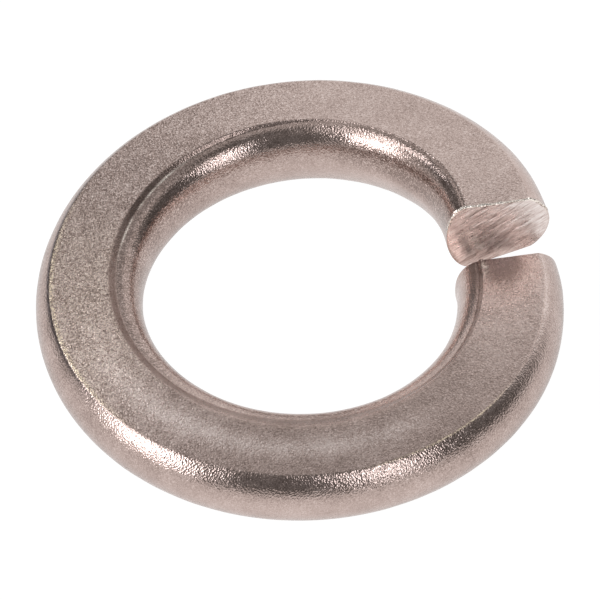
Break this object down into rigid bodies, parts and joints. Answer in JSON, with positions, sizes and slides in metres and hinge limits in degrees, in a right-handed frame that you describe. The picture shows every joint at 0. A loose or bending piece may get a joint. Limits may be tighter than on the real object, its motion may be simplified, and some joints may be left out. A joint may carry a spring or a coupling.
{
  "type": "spring lock washer",
  "caption": "Left-hand single-turn spring lock washer of flattened stainless steel wire, with rolled edges, sheared ends and a round bore for a bolt.",
  "frame": {"origin": "on the bore's axis, at the height of the low end's underside", "axes": "+Z along the bore, from the low end up to the high end; +X through the low end's sheared face; the wire climbs clockwise seen from above"},
  "size_m": [0.0272, 0.0272, 0.008],
  "materials": {
    "stainless_steel": "plain coiled and tumbled stainless steel: fine matt grain on the flat lands, smooth and brighter on the rolled edges"
  },
  "bodies": {
    "root": {"lock_washer": "stainless_steel"}
  },
  "joints": []
}
